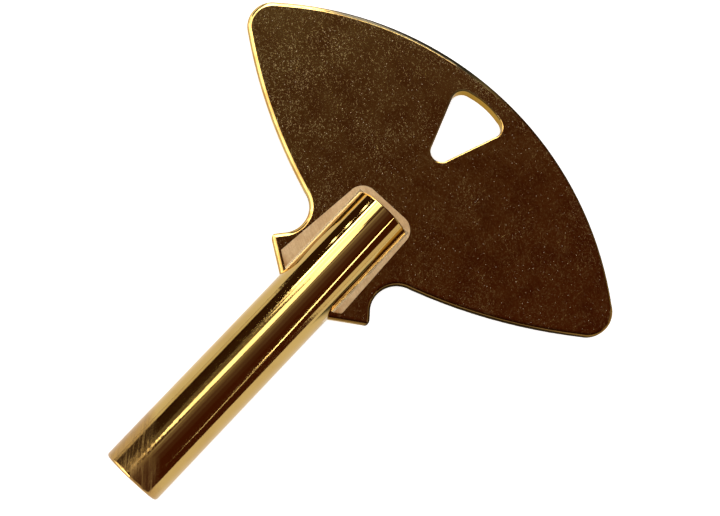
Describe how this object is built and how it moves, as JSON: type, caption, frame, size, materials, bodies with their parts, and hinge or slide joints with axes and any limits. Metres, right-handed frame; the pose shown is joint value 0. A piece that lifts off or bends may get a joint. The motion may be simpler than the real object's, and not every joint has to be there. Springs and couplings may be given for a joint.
{
  "type": "clock winding key",
  "caption": "Flat fan-shaped wing with a wedge-shaped hang hole, brazed into a slotted round barrel whose square socket turns the winding arbor of a clock.",
  "frame": {"origin": "centre of the socket mouth, on the axis of the barrel", "axes": "+X along the barrel from the socket mouth to the wing, +Y across the wing, +Z out of the front face of the wing"},
  "size_m": [0.0652, 0.0592, 0.008],
  "materials": {
    "wing_brass": "polished, with fine scratches and tarnish",
    "barrel_brass": "polished, scuffed at the mouth",
    "braze": "matt, filed"
  },
  "bodies": {
    "root": {"wing_plate": "wing_brass", "barrel": "barrel_brass", "slot_braze": "braze", "front_bead": "braze", "back_bead": "braze"}
  },
  "joints": []
}
